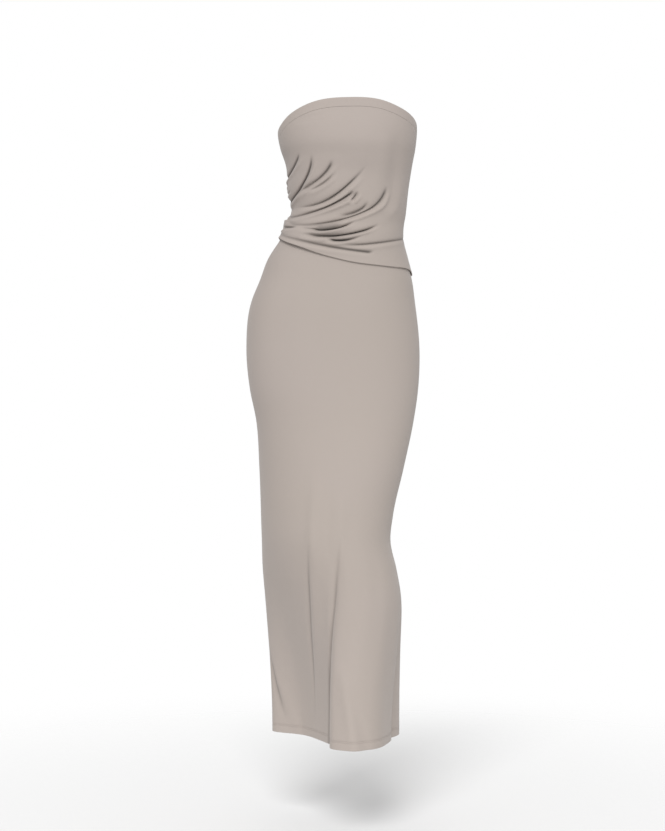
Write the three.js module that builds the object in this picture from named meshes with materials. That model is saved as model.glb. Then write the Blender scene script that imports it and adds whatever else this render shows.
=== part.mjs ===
// A strapless column dress in smooth matte jersey, in its hollow worn form: a
// draped bodice layer, gathered into the left side seam, over a long narrow skirt.
//
// Millimetres, +Z up. The front looks along -Y and +X is the wearer's left. The
// origin is the middle of the neckline opening, level with the side seams' tops.
//
// A place on the dress is (turn, z). The turn runs round it from the seam at -X:
// 0 to 1 across the front to the seam at +X, and 1 to 2 across the back.

import * as THREE from 'three';

// Cloth and seams
const WALL = 2;
const BAND_WALL = 2.8;
const HEM_WALL = 3;
const SEAM_GAP = 0.3;
const LAYER_GAP = 0.6;
const LAYER_SLACK = 0.2;
const LAYER_HEIGHT = LAYER_GAP + WALL + LAYER_SLACK;

// Heights and depths
const WAIST_SEAM_Z = -165;
const SNUG_Z = -255;
const HIP_Z = -330;
const KNEE_Z = -800;
const SWING_Z = -770;
const HEM_Z = -1191;
const HEM_TURN = 15;
const BAND_DEPTH = 18;

// The bodice layer's folds: what it swells everywhere, how far below the neck
// band it starts to, and how wide a crease's two sides are for its width
const LEAST_SWELLING = 0.5;
const CALM_DEPTH = 45;
const STEEP_SIDE = 0.8;
const GENTLE_SIDE = 1.5;
const TAIL_SHARE = 0.7;
const OPENING_FROM = -0.1;
const OPENING_TO = 0.22;
const SOFT_TIP = 0.4;
const MOST_SLANT = 1.5;

// How finely each piece is divided
const FOLDED_COLUMNS = 37;
const FOLDED_SHARE = 0.66;
const SMOOTH_COLUMNS = 12;
const BODICE_BACK_COLUMNS = 17;
const BODICE_ROWS_ABOVE_FOLDS = 6;
const BODICE_ROWS_IN_FOLDS = 27;
const FOLDS_START = 0.24;
const BAND_ROWS = 2;
const SKIRT_SIDE_COLUMNS = 9;
const CREASE_COLUMNS = 13;
const CREASES_FROM = 0.4;
const CREASES_TO = 0.68;
const SKIRT_BACK_COLUMNS = 20;
const WAIST_ROWS = 8;
const HIP_ROWS = 4;
const THIGH_ROWS = 8;
const CALF_ROWS = 8;
const ARC_SAMPLES = 120;
const PATH_SAMPLES = 28;
const STEP = 0.6;
const HALF_GIRTH = 400;

const CLOTH_COLOUR = 0xb6aba4;
const BAND_COLOUR = 0xb3a8a1;

// Level sections of the body form that the skirt is cut to, and that the bodice
// layer hangs over: the reach to each side, how far the section is sheared back
// towards -X, and the power of its oval, where 2 is an ellipse.
const SECTIONS = table(['z', 'left', 'right', 'front', 'back', 'lean', 'power'], [
  [60, -129, 129, -97, 90, 0, 2.35],
  [20, -131, 131, -108, 94, 0, 2.35],
  [-20, -133, 131, -118, 97, 0, 2.3],
  [-45, -128, 128, -120, 96, 0, 2.25],
  [-70, -119, 123, -114, 92, 0, 2.2],
  [-100, -113, 118, -105, 87, 0, 2.15],
  [-140, -109, 112, -97, 81, 0, 2.15],
  [-170, -106, 108, -92, 79, 0, 2.15],
  [-200, -119, 104, -90, 82, 0, 2.2],
  [-220, -131, 105, -92, 88, 0, 2.2],
  [-257, -155, 114, -96, 100, 0, 2.25],
  [-298, -171, 125, -99, 112, 0, 2.3],
  [-340, -188, 131, -102, 121, 0, 2.3],
  [-430, -198, 140, -105, 125, 0, 2.3],
  [-511, -191, 137, -108, 115, 0.02, 2.25],
  [-571, -179, 128, -112, 110, 0.06, 2.2],
  [-663, -173, 108, -122, 112, 0.14, 2.15],
  [-755, -170, 87, -130, 117, 0.2, 2.1],
  [-805, -169, 82, -132, 120, 0.24, 2.1],
  [-860, -170, 95, -131, 124, 0.28, 2.1],
  [-920, -169, 109, -128, 129, 0.32, 2.1],
  [-1028, -168, 114, -122, 136, 0.37, 2.1],
  [-1191, -165, 112, -116, 141, 0.4, 2.1],
]);

// The level hem as it hangs, seen from above: set back at the left, rolling
// forward over the leading leg, with a narrow groove at the right seam.
const HEM_RING = table(['turn', 'x', 'y'], [
  [0, -150, 80],
  [0.2, -88, 34],
  [0.37, -55, -21],
  [0.48, -35, -67],
  [0.585, -25, -115],
  [0.635, 0, -128],
  [0.72, 40, -117],
  [0.83, 72, -75],
  [0.945, 84, -22],
  [1, 85, 2],
  [1.045, 94, 18],
  [1.1, 101, 36],
  [1.2, 99, 76],
  [1.31, 79, 113],
  [1.43, 38, 140],
  [1.56, -12, 153],
  [1.69, -64, 157],
  [1.81, -110, 146],
  [1.91, -140, 117],
]);

// The neckline and the bodice layer's free lower edge, which slants down across
// the front to a corner at the right seam.
const TOP_EDGE = table(['turn', 'z'], [
  [0, -15], [0.1, -6], [0.2, 13], [0.33, 31], [0.5, 37.5], [0.66, 34.5],
  [0.79, 20], [0.9, 6], [1, -5], [1.12, -12], [1.5, -16], [1.88, -16],
]);
const LOWER_EDGE = table(['turn', 'z'], [
  [0, -219], [0.26, -239], [0.44, -259], [0.59, -272], [0.75, -278],
  [0.93, -282], [1, -289], [1.1, -286], [1.5, -257], [1.85, -226],
]);

// Where the bodice layer swells off the form, between its folds.
const SWELLINGS = table(['name', 'along', 'z', 'reachAlong', 'reachZ', 'height'], [
  ['underarm', 6, -125, 95, 46, 4.2],
  ['bust side', 95, -108, 105, 58, 5],
  ['waist roll', -6, -194, 110, 34, 6.6],
  ['midriff', 135, -163, 145, 72, 7],
  ['waist', 150, -222, 175, 48, 6],
  ['soft front', 255, -180, 95, 115, 3.2],
  ['low back', -120, -215, 130, 60, 2.6],
]);

// The bodice layer's folds: each is a crease from its root, at or near a seam, to
// its tip. Places are millimetres along the cloth from that seam, with the back
// negative, and headings are degrees up from level. Depth is a share of the
// swelling, and tail is how far the crease runs on behind its root.
const FOLDS = table(
  ['name', 'along', 'z', 'heading', 'tipAlong', 'tipZ', 'tipHeading',
    'depth', 'width', 'fade', 'tail', 'seam'], [
    ['underarm', 0, -105, 18, 85, -61, 36, 0.8, 7, 0.3, 30, 'left'],
    ['side upper', 0, -146, -8, 107, -70, 62, 0.95, 7.5, 0.25, 45, 'left'],
    ['bust inner', 0, -153, 11, 145, -82, 51, 0.95, 7.5, 0.25, 20, 'left'],
    ['bust inner low', 83, -135, 12, 146, -99, 42, 0.45, 7, 0.5, 0, 'left'],
    ['midriff long', 62, -164, -1, 207, -88, 39, 0.9, 7.5, 0.3, 0, 'left'],
    ['midriff deep', 0, -173, -19, 163, -141, 28, 1, 8, 0.2, 60, 'left'],
    ['midriff short', 158, -156, 47, 178, -136, 47, 0.6, 6, 0.6, 0, 'left'],
    ['sweep', 14, -176, -34, 234, -130, 64, 1, 8, 0.22, 0, 'left'],
    ['waist pocket', 0, -196, 8, 161, -200, 31, 1, 8, 0.22, 70, 'left'],
    ['waist long', 112, -218, -12, 224, -199, 39, 0.95, 7, 0.3, 0, 'left'],
    ['waist short', 150, -230, -3, 208, -224, 33, 0.85, 6, 0.4, 0, 'left'],
    ['edge tuck', 0, -208, -10, 246, -251, 0, 0.85, 7, 0.22, 40, 'left'],
    ['soft front', 216, -176, 49, 272, -72, 69, 0.55, 15, 0.6, 0, 'left'],
    ['back high', 0, -128, 168, -120, -98, 160, 0.6, 8, 0.6, 0, 'left'],
    ['back waist', 0, -188, 182, -170, -208, 188, 0.7, 8, 0.6, 0, 'left'],
    ['back low', -20, -214, 188, -190, -238, 186, 0.6, 8, 0.6, 0, 'left'],
    ['hip tuck', 0, -219, -6, 160, -241, 4, 0.8, 7, 0.5, 50, 'right'],
  ]);

// Long soft folds of the skirt: height is outward, and negative in a crease.
const SKIRT_FOLDS = table(['name', 'turn', 'z', 'footTurn', 'footZ', 'height', 'width'], [
  ['main crease', 0.615, -790, 0.485, -1191, -4.5, 9],
  ['main roll', 0.66, -800, 0.545, -1191, 2.6, 15],
  ['left crease', 0.465, -800, 0.345, -1160, -3, 10],
  ['thigh ridge', 0.5, -680, 0.42, -1060, 2.4, 14],
  ['side crease', 0.01, -1030, 0.12, -1175, -3.6, 10],
  ['front ridge', 0.6, -1040, 0.66, -1191, 2.8, 13],
  ['right soft', 0.83, -880, 0.86, -1191, -3, 22],
  ['seat fold', 1.36, -560, 1.3, -760, -4, 30],
  ['back crease', 1.42, -800, 1.38, -1191, -9, 26],
  ['back roll', 1.58, -840, 1.6, -1191, 6, 30],
  ['back left crease', 1.74, -860, 1.77, -1191, -8, 24],
]);

// Rows of a table as objects with the named columns.
function table(columns, rows) {
  return rows.map((row) => Object.fromEntries(columns.map((name, i) => [name, row[i]])));
}

function mix(from, to, share) {
  return from + (to - from) * share;
}

// 0 below the first edge, 1 above the second, and smooth between them.
function ease(low, high, value) {
  const t = THREE.MathUtils.clamp((value - low) / (high - low), 0, 1);
  return t * t * (3 - 2 * t);
}

function bell(distance, width) {
  return Math.exp(-((distance / width) ** 2));
}

// A smooth curve through the points of a table, with the slope at each point
// worked out from its neighbours.
function curveThrough(points, across, up) {
  const sorted = [...points].sort((a, b) => a[across] - b[across]);
  const at = sorted.map((point) => point[across]);
  const value = sorted.map((point) => point[up]);
  const last = at.length - 1;
  const rise = at.slice(1).map((x, i) => (value[i + 1] - value[i]) / (x - at[i]));
  const slope = at.map((x, i) => {
    if (i === 0) return rise[0];
    if (i === last) return rise[last - 1];
    const before = at[i] - at[i - 1];
    const after = at[i + 1] - at[i];
    return (rise[i - 1] * after + rise[i] * before) / (before + after);
  });
  return (x) => {
    const inside = THREE.MathUtils.clamp(x, at[0], at[last]);
    let i = 0;
    while (i < last - 1 && inside > at[i + 1]) i += 1;
    const span = at[i + 1] - at[i];
    const t = (inside - at[i]) / span;
    const t2 = t * t;
    const t3 = t2 * t;
    return (2 * t3 - 3 * t2 + 1) * value[i] + (t3 - 2 * t2 + t) * span * slope[i]
      + (3 * t2 - 2 * t3) * value[i + 1] + (t3 - t2) * span * slope[i + 1];
  };
}

// The same for a curve that closes on itself after two halves.
function ringThrough(points, up) {
  const wrapped = [-2, 0, 2].flatMap((shift) => (
    points.map((point) => ({ ...point, turn: point.turn + shift }))));
  const curve = curveThrough(wrapped, 'turn', up);
  return (turn) => curve(THREE.MathUtils.euclideanModulo(turn, 2));
}

const section = Object.fromEntries(['left', 'right', 'front', 'back', 'lean', 'power']
  .map((column) => [column, curveThrough(SECTIONS, 'z', column)]));
const hemX = ringThrough(HEM_RING, 'x');
const hemY = ringThrough(HEM_RING, 'y');
const topEdge = ringThrough(TOP_EDGE, 'z');
const lowerEdge = ringThrough(LOWER_EDGE, 'z');

function sheared(size, angle) {
  const across = Math.cos(angle);
  const deep = Math.sin(angle);
  const x = size.halfWidth * Math.sign(across) * Math.abs(across) ** size.bend;
  const y = size.halfDepth * Math.sign(deep) * Math.abs(deep) ** size.bend;
  return [size.midX + x, size.midY + y - size.lean * x];
}

// The section at a height, with the length round each half up to each sample.
const sectionStore = new Map();
function sectionAt(z) {
  const key = z.toFixed(3);
  if (sectionStore.has(key)) return sectionStore.get(key);
  const left = section.left(z);
  const right = section.right(z);
  const front = section.front(z);
  const back = section.back(z);
  const size = {
    midX: (left + right) / 2,
    halfWidth: (right - left) / 2,
    midY: (front + back) / 2,
    halfDepth: (back - front) / 2,
    lean: section.lean(z),
    bend: 2 / section.power(z),
  };
  size.lengths = [-Math.PI, 0].map((start) => {
    const lengths = [0];
    for (let i = 1; i <= ARC_SAMPLES; i += 1) {
      const before = sheared(size, start + Math.PI * (i - 1) / ARC_SAMPLES);
      const after = sheared(size, start + Math.PI * i / ARC_SAMPLES);
      lengths.push(lengths[i - 1] + Math.hypot(after[0] - before[0], after[1] - before[1]));
    }
    return lengths;
  });
  sectionStore.set(key, size);
  return size;
}

// The body form's point at a turn and a height, evenly spaced round each half.
function formPoint(turn, z) {
  const size = sectionAt(z);
  const round = THREE.MathUtils.euclideanModulo(turn, 2);
  const half = round < 1 ? 0 : 1;
  const lengths = size.lengths[half];
  const wanted = (round - half) * lengths[ARC_SAMPLES];
  let i = 0;
  while (i < ARC_SAMPLES - 1 && lengths[i + 1] < wanted) i += 1;
  const share = (wanted - lengths[i]) / (lengths[i + 1] - lengths[i]);
  const angle = -Math.PI + Math.PI * (half + (i + share) / ARC_SAMPLES);
  const [x, y] = sheared(size, angle);
  return new THREE.Vector3(x, y, z);
}

// Millimetres round the form from the left seam, negative across the back.
function alongAt(turn, z) {
  const { lengths } = sectionAt(z);
  const round = THREE.MathUtils.euclideanModulo(turn + 1, 2) - 1;
  return round * lengths[round < 0 ? 1 : 0][ARC_SAMPLES];
}

function alongFromRight(turn, z) {
  const { lengths } = sectionAt(z);
  const round = THREE.MathUtils.euclideanModulo(turn, 2);
  return (1 - round) * lengths[round < 1 ? 0 : 1][ARC_SAMPLES];
}

// The outward direction of a surface given as a function of turn and height.
function outwardAt(surface, turn, z) {
  const width = STEP / HALF_GIRTH;
  const across = surface(turn + width, z).sub(surface(turn - width, z));
  const up = surface(turn, z + STEP).sub(surface(turn, z - STEP));
  return across.cross(up).normalize();
}

// A crease's path, as points with the depth of the crease at each.
function creasePath(fold) {
  const start = new THREE.Vector2(fold.along, fold.z);
  const tip = new THREE.Vector2(fold.tipAlong, fold.tipZ);
  const reach = start.distanceTo(tip);
  const [from, to] = [fold.heading, fold.tipHeading].map((degrees) => {
    const angle = THREE.MathUtils.degToRad(degrees);
    return new THREE.Vector2(Math.cos(angle), Math.sin(angle));
  });
  const path = [];
  if (fold.tail > 0) {
    path.push({ place: start.clone().addScaledVector(from, -fold.tail), depth: 0 });
    path.push({ place: start.clone().addScaledVector(from, -fold.tail / 2), depth: fold.depth * TAIL_SHARE });
  }
  for (let i = 0; i <= PATH_SAMPLES; i += 1) {
    const t = i / PATH_SAMPLES;
    const t2 = t * t;
    const t3 = t2 * t;
    const place = start.clone().multiplyScalar(2 * t3 - 3 * t2 + 1)
      .addScaledVector(from, reach * (t3 - 2 * t2 + t))
      .addScaledVector(tip, 3 * t2 - 2 * t3)
      .addScaledVector(to, reach * (t3 - t2));
    const opening = fold.tail > 0 ? 1 : ease(OPENING_FROM, OPENING_TO, t);
    path.push({ place, depth: fold.depth * opening * ease(0, fold.fade, 1 - t) });
  }
  return path;
}

// How far the crease cuts in at a place: steep above it, gentle below it.
function creaseCut(fold, path, along, z) {
  let nearest = Infinity;
  let depth = 0;
  let above = false;
  for (let i = 1; i < path.length; i += 1) {
    const a = path[i - 1].place;
    const b = path[i].place;
    const run = b.x - a.x;
    const rise = b.y - a.y;
    const dot = (along - a.x) * run + (z - a.y) * rise;
    const share = THREE.MathUtils.clamp(dot / (run * run + rise * rise), 0, 1);
    const across = along - a.x - run * share;
    const up = z - a.y - rise * share;
    const distance = Math.hypot(across, up);
    if (distance < nearest) {
      nearest = distance;
      depth = mix(path[i - 1].depth, path[i].depth, share);
      above = up > 0;
    }
  }
  return depth * bell(nearest, fold.width * (above ? STEEP_SIDE : GENTLE_SIDE));
}

const creases = FOLDS.map((fold) => ({ fold, path: creasePath(fold) }));

// The height of the bodice layer's outside above the form.
function drapeHeight(turn, z) {
  const along = alongAt(turn, z);
  const fromRight = alongFromRight(turn, z);
  let swelling = LEAST_SWELLING;
  for (const swell of SWELLINGS) {
    const across = (along - swell.along) / swell.reachAlong;
    const up = (z - swell.z) / swell.reachZ;
    swelling += swell.height * ease(0, 1, 1 - Math.hypot(across, up));
  }
  let left = 1;
  for (const { fold, path } of creases) {
    left *= 1 - creaseCut(fold, path, fold.seam === 'right' ? fromRight : along, z);
  }
  const calm = ease(0, CALM_DEPTH, topEdge(turn) - BAND_DEPTH - z);
  return LAYER_HEIGHT + swelling * left * calm;
}

// The bodice layer's wall at a place: its outer and inner points.
function drapeWall(turn, z) {
  const base = formPoint(turn, z);
  const outward = outwardAt(formPoint, turn, z);
  const height = drapeHeight(turn, z);
  const width = STEP / HALF_GIRTH;
  const across = (drapeHeight(turn + width, z) - drapeHeight(turn - width, z)) / (2 * STEP);
  const up = (drapeHeight(turn, z + STEP) - drapeHeight(turn, z - STEP)) / (2 * STEP);
  const through = WALL * Math.min(Math.hypot(1, across, up), MOST_SLANT);
  return {
    outer: base.clone().addScaledVector(outward, height),
    inner: base.clone().addScaledVector(outward, Math.max(height - through, LAYER_GAP)),
  };
}

// The skirt: the body form above, passing into the hem's own ring below.
function skirtForm(turn, z) {
  const point = formPoint(turn, z);
  const share = ease(0, 1, (SWING_Z - z) / (SWING_Z - HEM_Z));
  point.x = mix(point.x, hemX(turn), share);
  point.y = mix(point.y, hemY(turn), share);
  return point;
}

function skirtHeight(turn, z) {
  let height = 0;
  for (const fold of SKIRT_FOLDS) {
    const share = (fold.z - z) / (fold.z - fold.footZ);
    const middle = mix(fold.turn, fold.footTurn, THREE.MathUtils.clamp(share, 0, 1));
    const across = alongAt(turn, z) - alongAt(middle, z);
    const faded = fold.footZ > HEM_Z ? ease(0, SOFT_TIP, 1 - share) : 1;
    height += fold.height * bell(across, fold.width) * ease(0, 0.5, share) * faded;
  }
  return height;
}

function skirtSurface(turn, z) {
  const outward = outwardAt(skirtForm, turn, z);
  return skirtForm(turn, z).addScaledVector(outward, skirtHeight(turn, z));
}

function skirtWall(turn, z) {
  const outer = skirtSurface(turn, z);
  const outward = outwardAt(skirtSurface, turn, z);
  const through = z < HEM_Z + HEM_TURN ? HEM_WALL : WALL;
  return { outer, inner: outer.clone().addScaledVector(outward, -through) };
}

// A closed wall over a grid of places: rows run down, columns run round, and each
// quad is split from low left to high right, as the folds run. A ring joins its
// last column to its first.
function wallGeometry(grid, closed) {
  const rows = grid.length;
  const columns = grid[0].length;
  const positions = [];
  for (const side of ['outer', 'inner']) {
    for (const row of grid) for (const place of row) positions.push(...place[side].toArray());
  }
  const at = (side, i, j) => side * rows * columns + i * columns + (j % columns);
  const faces = [];
  const quad = (a, b, c, d) => faces.push(a, b, c, a, c, d);
  const spans = closed ? columns : columns - 1;
  for (let j = 0; j < spans; j += 1) {
    for (let i = 0; i < rows - 1; i += 1) {
      quad(at(0, i + 1, j), at(0, i + 1, j + 1), at(0, i, j + 1), at(0, i, j));
      quad(at(1, i + 1, j), at(1, i, j), at(1, i, j + 1), at(1, i + 1, j + 1));
    }
    quad(at(0, 0, j), at(0, 0, j + 1), at(1, 0, j + 1), at(1, 0, j));
    const foot = rows - 1;
    quad(at(0, foot, j), at(1, foot, j), at(1, foot, j + 1), at(0, foot, j + 1));
  }
  if (!closed) {
    const end = columns - 1;
    for (let i = 0; i < rows - 1; i += 1) {
      quad(at(0, i, 0), at(1, i, 0), at(1, i + 1, 0), at(0, i + 1, 0));
      quad(at(0, i, end), at(0, i + 1, end), at(1, i + 1, end), at(1, i, end));
    }
  }
  const geometry = new THREE.BufferGeometry();
  geometry.setAttribute('position', new THREE.Float32BufferAttribute(positions, 3));
  geometry.setIndex(faces);
  geometry.computeVertexNormals();
  return geometry;
}

// Turns from one seam to the next, each end half a seam gap short of its seam.
function panelTurns(turns) {
  const short = SEAM_GAP / 2 / HALF_GIRTH;
  const last = turns.length - 1;
  return turns.map((turn, j) => turn + (j === 0 ? short : 0) - (j === last ? short : 0));
}

function evenly(from, to, count) {
  return Array.from({ length: count + 1 }, (_, i) => mix(from, to, i / count));
}

const frontTurns = [
  ...evenly(0, FOLDED_SHARE, FOLDED_COLUMNS),
  ...evenly(FOLDED_SHARE, 1, SMOOTH_COLUMNS).slice(1),
];
const backTurns = evenly(1, 2, BODICE_BACK_COLUMNS);

// Shares of the way down the bodice layer, closer together where it is folded.
const drapeShares = [
  ...evenly(0, FOLDS_START, BODICE_ROWS_ABOVE_FOLDS),
  ...evenly(FOLDS_START, 1, BODICE_ROWS_IN_FOLDS).slice(1),
];

function drapePanel(turns) {
  const grid = drapeShares.map((share) => panelTurns(turns).map((turn) => {
    const top = topEdge(turn) - BAND_DEPTH - SEAM_GAP;
    return drapeWall(turn, mix(top, lowerEdge(turn), share));
  }));
  return wallGeometry(grid, false);
}

// Heights of the skirt's rows, closest at the waist and at the turned hem.
const skirtHeights = [
  ...evenly(WAIST_SEAM_Z, SNUG_Z, WAIST_ROWS),
  ...evenly(SNUG_Z, HIP_Z, HIP_ROWS).slice(1),
  ...evenly(HIP_Z, KNEE_Z, THIGH_ROWS).slice(1),
  ...evenly(KNEE_Z, HEM_Z + HEM_TURN + 1, CALF_ROWS).slice(1),
  HEM_Z + HEM_TURN - 1,
  HEM_Z,
];

// The front's columns are closest where it creases over the leading leg.
const skirtFrontTurns = [
  ...evenly(0, CREASES_FROM, SKIRT_SIDE_COLUMNS),
  ...evenly(CREASES_FROM, CREASES_TO, CREASE_COLUMNS).slice(1),
  ...evenly(CREASES_TO, 1, SKIRT_SIDE_COLUMNS).slice(1),
];

function skirtPanel(turns) {
  const ends = panelTurns(turns);
  return wallGeometry(skirtHeights.map((z) => ends.map((turn) => skirtWall(turn, z))), false);
}

function bandRing() {
  const turns = [...frontTurns.slice(0, -1), ...backTurns.slice(0, -1)];
  const grid = evenly(0, 1, BAND_ROWS).map((share) => turns.map((turn) => {
    const z = topEdge(turn) - BAND_DEPTH * share;
    const base = formPoint(turn, z);
    const outward = outwardAt(formPoint, turn, z);
    return {
      outer: base.clone().addScaledVector(outward, LAYER_HEIGHT),
      inner: base.clone().addScaledVector(outward, LAYER_HEIGHT - BAND_WALL),
    };
  }));
  return wallGeometry(grid, true);
}

function piece(name, geometry, colour) {
  const material = new THREE.MeshStandardMaterial({ color: colour, roughness: 0.85, metalness: 0 });
  const mesh = new THREE.Mesh(geometry, material);
  mesh.name = name;
  return mesh;
}

const dress = new THREE.Group();
dress.name = 'strapless_dress';
dress.add(piece('bodice_front', drapePanel(frontTurns), CLOTH_COLOUR));
dress.add(piece('bodice_back', drapePanel(backTurns), CLOTH_COLOUR));
dress.add(piece('neck_band', bandRing(), BAND_COLOUR));
dress.add(piece('skirt_front', skirtPanel(skirtFrontTurns), CLOTH_COLOUR));
dress.add(piece('skirt_back', skirtPanel(evenly(1, 2, SKIRT_BACK_COLUMNS)), CLOTH_COLOUR));

export default dress;
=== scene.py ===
"""A strapless column dress in matte jersey, hollow and in its worn form.

The tables are in millimetres, as a maker measures, and the meshes are in metres.
A place on the dress is (turn, z). The turn runs round it from the seam at -X:
0 to 1 across the front to the seam at +X, and 1 to 2 across the back.
"""

from __future__ import annotations

import logging
import math
from dataclasses import dataclass
from enum import Enum
from typing import Callable, Mapping, Sequence, Union

import bpy
import numpy as np
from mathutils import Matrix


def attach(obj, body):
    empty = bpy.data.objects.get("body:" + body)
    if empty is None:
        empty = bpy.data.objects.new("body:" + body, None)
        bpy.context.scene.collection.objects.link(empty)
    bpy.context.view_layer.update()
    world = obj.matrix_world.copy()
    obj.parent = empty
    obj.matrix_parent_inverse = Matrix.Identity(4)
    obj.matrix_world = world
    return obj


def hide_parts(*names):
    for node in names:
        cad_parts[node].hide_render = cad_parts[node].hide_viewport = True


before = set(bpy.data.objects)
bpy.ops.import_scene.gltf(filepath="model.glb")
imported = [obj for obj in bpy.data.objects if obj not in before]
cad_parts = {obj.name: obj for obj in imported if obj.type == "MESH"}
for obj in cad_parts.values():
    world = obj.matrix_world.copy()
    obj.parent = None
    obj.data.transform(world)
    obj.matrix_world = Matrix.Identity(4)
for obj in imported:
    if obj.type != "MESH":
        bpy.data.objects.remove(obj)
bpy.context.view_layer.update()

log = logging.getLogger("dress")

Array = np.ndarray
Surface = Callable[[Array, Array], Array]

METRES = 0.001
HALF_GIRTH = 400.0
BODY = "root"

WAIST_SEAM_Z = -165.0
KNEE_Z = -800.0
SWING_Z = -770.0
HEM_Z = -1191.0
BAND_DEPTH = 18.0
SEAM_GAP = 0.3
LAYER_LIFT = 2.8
TINY = 1e-6


def table(kind: type, *rows: tuple[float, ...]) -> tuple:
    """A table of one kind of thing, each row the values of its fields in order."""
    return tuple(kind(*row) for row in rows)


@dataclass(frozen=True)
class Section:
    """A level oval of the body form: its reaches, its shear towards -X and its power."""

    z: float
    left: float
    right: float
    front: float
    back: float
    lean: float
    power: float


SECTIONS = table(
    Section,
    (60, -129, 129, -97, 90, 0, 2.35),
    (20, -131, 131, -108, 94, 0, 2.35),
    (-20, -133, 131, -118, 97, 0, 2.3),
    (-45, -128, 128, -120, 96, 0, 2.25),
    (-70, -119, 123, -114, 92, 0, 2.2),
    (-100, -113, 118, -105, 87, 0, 2.15),
    (-140, -109, 112, -97, 81, 0, 2.15),
    (-170, -106, 108, -92, 79, 0, 2.15),
    (-200, -119, 104, -90, 82, 0, 2.2),
    (-220, -131, 105, -92, 88, 0, 2.2),
    (-257, -155, 114, -96, 100, 0, 2.25),
    (-298, -171, 125, -99, 112, 0, 2.3),
    (-340, -188, 131, -102, 121, 0, 2.3),
    (-430, -198, 140, -105, 125, 0, 2.3),
    (-511, -191, 137, -108, 115, 0.02, 2.25),
    (-571, -179, 128, -112, 110, 0.06, 2.2),
    (-663, -173, 108, -122, 112, 0.14, 2.15),
    (-755, -170, 87, -130, 117, 0.2, 2.1),
    (-805, -169, 82, -132, 120, 0.24, 2.1),
    (-860, -170, 95, -131, 124, 0.28, 2.1),
    (-920, -169, 109, -128, 129, 0.32, 2.1),
    (-1028, -168, 114, -122, 136, 0.37, 2.1),
    (-1191, -165, 112, -116, 141, 0.4, 2.1),
)


@dataclass(frozen=True)
class HemPoint:
    """A point of the level hem, seen from above."""

    turn: float
    x: float
    y: float


HEM_RING = table(
    HemPoint,
    (0, -150, 80), (0.2, -88, 34), (0.37, -55, -21), (0.48, -35, -67),
    (0.585, -25, -115), (0.635, 0, -128), (0.72, 40, -117), (0.83, 72, -75),
    (0.945, 84, -22), (1, 85, 2), (1.045, 94, 18), (1.1, 101, 36),
    (1.2, 99, 76), (1.31, 79, 113), (1.43, 38, 140), (1.56, -12, 153),
    (1.69, -64, 157), (1.81, -110, 146), (1.91, -140, 117),
)


@dataclass(frozen=True)
class EdgePoint:
    """The height of an edge of the bodice at a turn."""

    turn: float
    z: float


NECKLINE = table(
    EdgePoint,
    (0, -15), (0.1, -6), (0.2, 13), (0.33, 31),
    (0.5, 37.5), (0.66, 34.5), (0.79, 20), (0.9, 6),
    (1, -5), (1.12, -12), (1.5, -16), (1.88, -16),
)
DRAPE_EDGE = table(
    EdgePoint,
    (0, -219), (0.26, -239), (0.44, -259), (0.59, -272),
    (0.75, -278), (0.93, -282), (1, -289), (1.1, -286),
    (1.5, -257), (1.85, -226),
)


def ease(low: float, high: float, value: Array) -> Array:
    """Rises smoothly from 0 at low to 1 at high."""
    t = np.clip((value - low) / (high - low), 0, 1)
    return t * t * (3 - 2 * t)


def bell(distance: Array, width: Array | float) -> Array:
    """A bell curve of height 1 round a distance of 0."""
    return np.exp(-((distance / width) ** 2))


def mix(start: Array | float, end: Array | float, share: Array | float) -> Array | float:
    """The value a share of the way from start to end."""
    return start + (end - start) * share


def smooth_weights(t: Array) -> tuple[Array, Array, Array, Array]:
    """The weights of a smooth curve's start, end, leaving slope and arriving slope."""
    return 2 * t**3 - 3 * t**2 + 1, 3 * t**2 - 2 * t**3, t**3 - 2 * t**2 + t, t**3 - t**2


class SmoothCurve:
    """A curve through given points, with slopes worked out from their neighbours."""

    def __init__(self, at: Sequence[float], value: Sequence[float]) -> None:
        """Sorts the points and works out a slope at each.

        Args:
            at: Where the points lie.
            value: The curve's value at each.
        """
        order = np.argsort(at)
        self.at = np.asarray(at, float)[order]
        self.value = np.asarray(value, float)[order]
        span = np.diff(self.at)
        rise = np.diff(self.value) / span
        self.slope = np.concatenate([rise[:1], rise])
        self.slope[1:-1] = (rise[:-1] * span[1:] + rise[1:] * span[:-1]) / (span[1:] + span[:-1])

    def __call__(self, x: Array | float) -> Array:
        """The curve's value at x, held level past its ends.

        Args:
            x: Where the curve is read.

        Returns:
            Its value there.
        """
        inside = np.clip(x, self.at[0], self.at[-1])
        i = np.clip(np.searchsorted(self.at, inside) - 1, 0, len(self.at) - 2)
        span = self.at[i + 1] - self.at[i]
        start, end, leaving, arriving = smooth_weights((inside - self.at[i]) / span)
        between = start * self.value[i] + end * self.value[i + 1]
        return between + leaving * span * self.slope[i] + arriving * span * self.slope[i + 1]


class RingCurve(SmoothCurve):
    """A smooth curve that closes on itself once round the dress, after two turns."""

    def __init__(self, turn: Sequence[float], value: Sequence[float]) -> None:
        """Repeats the points before and after, so that the join is smooth.

        Args:
            turn: Where the points lie, from 0 to 2.
            value: The curve's value at each.
        """
        turns = [t + shift for shift in (-2, 0, 2) for t in turn]
        super().__init__(turns, list(value) * 3)

    def __call__(self, x: Array | float) -> Array:
        """The value at any turn."""
        return super().__call__(np.mod(x, 2))


def edge_curve(points: Sequence[EdgePoint]) -> RingCurve:
    """A closed edge of the bodice as a curve of height by turn."""
    return RingCurve([p.turn for p in points], [p.z for p in points])


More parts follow.
